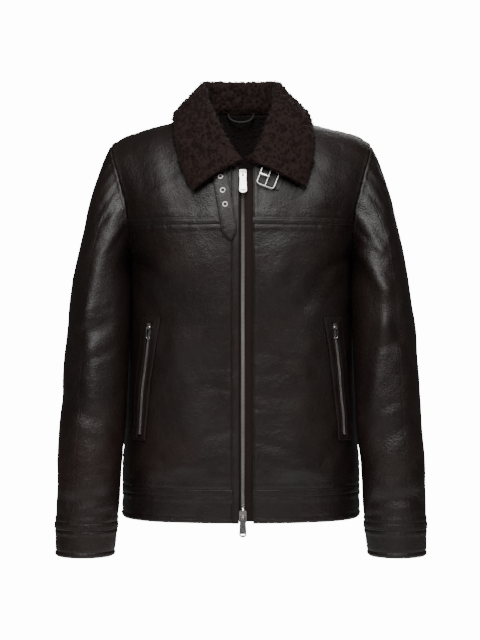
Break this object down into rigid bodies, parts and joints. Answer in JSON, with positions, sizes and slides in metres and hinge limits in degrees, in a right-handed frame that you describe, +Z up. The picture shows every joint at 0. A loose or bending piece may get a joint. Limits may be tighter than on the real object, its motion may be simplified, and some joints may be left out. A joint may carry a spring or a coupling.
{
  "type": "leather jacket held at the neck opening",
  "caption": "Hip-length leather jacket with a rolled wool collar, zip front, throat strap with buckle, slanted zip pockets, hem band and cuffs, holding its hollow worn form.",
  "frame": {"origin": "middle of the neck opening between the two shoulder seams, where the jacket is held when worn", "axes": "+Z up, the front faces -Y, +X is the wearer's left"},
  "size_m": [0.624, 0.2864, 0.8106],
  "materials": {
    "back_lower": "dark espresso leather with a fine pebbled grain and a soft sheen",
    "back_yoke": "dark espresso leather with a fine pebbled grain and a soft sheen",
    "buckle_frame": "polished nickel",
    "buckle_prong": "polished nickel",
    "buckle_tab": "dark espresso leather with a fine pebbled grain and a soft sheen",
    "collar": "dark brown curly sheared wool pile, matte",
    "cuff_left": "dark espresso leather with a fine pebbled grain and a soft sheen",
    "cuff_right": "dark espresso leather with a fine pebbled grain and a soft sheen",
    "cuff_strip_left": "dark espresso leather with a fine pebbled grain and a soft sheen",
    "cuff_strip_right": "dark espresso leather with a fine pebbled grain and a soft sheen",
    "eyelet_1": "aged nickel, semi-gloss",
    "eyelet_2": "aged nickel, semi-gloss",
    "eyelet_3": "aged nickel, semi-gloss",
    "front_edge_right": "dark espresso leather with a fine pebbled grain and a soft sheen",
    "front_lower_left": "dark espresso leather with a fine pebbled grain and a soft sheen",
    "front_lower_right": "dark espresso leather with a fine pebbled grain and a soft sheen",
    "front_yoke_left": "dark espresso leather with a fine pebbled grain and a soft sheen",
    "front_yoke_right": "dark espresso leather with a fine pebbled grain and a soft sheen",
    "hanger_loop": "dark espresso leather with a fine pebbled grain and a soft sheen",
    "hem_back": "dark espresso leather with a fine pebbled grain and a soft sheen",
    "hem_front_left": "dark espresso leather with a fine pebbled grain and a soft sheen",
    "hem_front_right": "dark espresso leather with a fine pebbled grain and a soft sheen",
    "hem_strip_back": "dark espresso leather with a fine pebbled grain and a soft sheen",
    "hem_strip_front_left": "dark espresso leather with a fine pebbled grain and a soft sheen",
    "hem_strip_front_right": "dark espresso leather with a fine pebbled grain and a soft sheen",
    "pocket_pull_left": "polished nickel",
    "pocket_pull_right": "polished nickel",
    "pocket_slider_left": "polished nickel",
    "pocket_slider_right": "polished nickel",
    "pocket_welt_left": "dark espresso leather with a fine pebbled grain and a soft sheen",
    "pocket_welt_right": "dark espresso leather with a fine pebbled grain and a soft sheen",
    "pocket_zip_left": "aged nickel, semi-gloss",
    "pocket_zip_right": "aged nickel, semi-gloss",
    "sleeve_top_left": "dark espresso leather with a fine pebbled grain and a soft sheen",
    "sleeve_top_right": "dark espresso leather with a fine pebbled grain and a soft sheen",
    "sleeve_under_left": "dark espresso leather with a fine pebbled grain and a soft sheen",
    "sleeve_under_right": "dark espresso leather with a fine pebbled grain and a soft sheen",
    "throat_strap": "dark espresso leather with a fine pebbled grain and a soft sheen",
    "yoke_strip_back": "dark espresso leather with a fine pebbled grain and a soft sheen",
    "yoke_strip_front_left": "dark espresso leather with a fine pebbled grain and a soft sheen",
    "yoke_strip_front_right": "dark espresso leather with a fine pebbled grain and a soft sheen",
    "zip_chain": "aged nickel, semi-gloss",
    "zip_pull_bottom": "polished nickel",
    "zip_pull_top": "polished nickel",
    "zip_slider_bottom": "aged nickel, semi-gloss",
    "zip_slider_top": "aged nickel, semi-gloss",
    "zip_tape_left": "dark reddish brown woven zip tape, matte",
    "zip_tape_right": "dark reddish brown woven zip tape, matte"
  },
  "bodies": {
    "jacket": {"back_lower": "back_lower", "back_yoke": "back_yoke", "buckle_frame": "buckle_frame", "buckle_tab": "buckle_tab", "collar": "collar", "cuff_left": "cuff_left", "cuff_right": "cuff_right", "cuff_strip_left": "cuff_strip_left", "cuff_strip_right": "cuff_strip_right", "eyelet_1": "eyelet_1", "eyelet_2": "eyelet_2", "eyelet_3": "eyelet_3", "front_edge_right": "front_edge_right", "front_lower_left": "front_lower_left", "front_lower_right": "front_lower_right", "front_yoke_left": "front_yoke_left", "front_yoke_right": "front_yoke_right", "hanger_loop": "hanger_loop", "hem_back": "hem_back", "hem_front_left": "hem_front_left", "hem_front_right": "hem_front_right", "hem_strip_back": "hem_strip_back", "hem_strip_front_left": "hem_strip_front_left", "hem_strip_front_right": "hem_strip_front_right", "pocket_slider_left": "pocket_slider_left", "pocket_slider_right": "pocket_slider_right", "pocket_welt_left": "pocket_welt_left", "pocket_welt_right": "pocket_welt_right", "pocket_zip_left": "pocket_zip_left", "pocket_zip_right": "pocket_zip_right", "sleeve_top_left": "sleeve_top_left", "sleeve_top_right": "sleeve_top_right", "sleeve_under_left": "sleeve_under_left", "sleeve_under_right": "sleeve_under_right", "throat_strap": "throat_strap", "yoke_strip_back": "yoke_strip_back", "yoke_strip_front_left": "yoke_strip_front_left", "yoke_strip_front_right": "yoke_strip_front_right", "zip_chain": "zip_chain", "zip_slider_bottom": "zip_slider_bottom", "zip_slider_top": "zip_slider_top", "zip_tape_left": "zip_tape_left", "zip_tape_right": "zip_tape_right"},
    "zip_pull_top_body": {"zip_pull_top": "zip_pull_top"},
    "zip_pull_bottom_body": {"zip_pull_bottom": "zip_pull_bottom"},
    "pocket_pull_right_body": {"pocket_pull_right": "pocket_pull_right"},
    "pocket_pull_left_body": {"pocket_pull_left": "pocket_pull_left"},
    "buckle_prong_body": {"buckle_prong": "buckle_prong"}
  },
  "joints": [
    {"name": "zip_pull_top_hinge", "type": "hinge", "parent": "jacket", "child": "zip_pull_top_body", "pos_m": [0.00308, -0.12742, -0.09839], "axis": [-0.9993, -0.0377, 0], "range_deg": [0, 110]},
    {"name": "zip_pull_bottom_hinge", "type": "hinge", "parent": "jacket", "child": "zip_pull_bottom_body", "pos_m": [0.003, -0.12732, -0.66407], "axis": [-1, -0.0012, 0], "range_deg": [0, 120]},
    {"name": "pocket_pull_right_hinge", "type": "hinge", "parent": "jacket", "child": "pocket_pull_right_body", "pos_m": [-0.15407, -0.10157, -0.34971], "axis": [-0.7531, 0.6533, 0.0782], "range_deg": [0, 140]},
    {"name": "pocket_pull_left_hinge", "type": "hinge", "parent": "jacket", "child": "pocket_pull_left_body", "pos_m": [0.15719, -0.09867, -0.34968], "axis": [-0.7309, -0.6782, -0.0759], "range_deg": [0, 140]},
    {"name": "buckle_prong_hinge", "type": "hinge", "parent": "jacket", "child": "buckle_prong_body", "pos_m": [0.04495, -0.13014, -0.1036], "axis": [0.3401, 0.2964, 0.8925], "range_deg": [0, 75]}
  ]
}
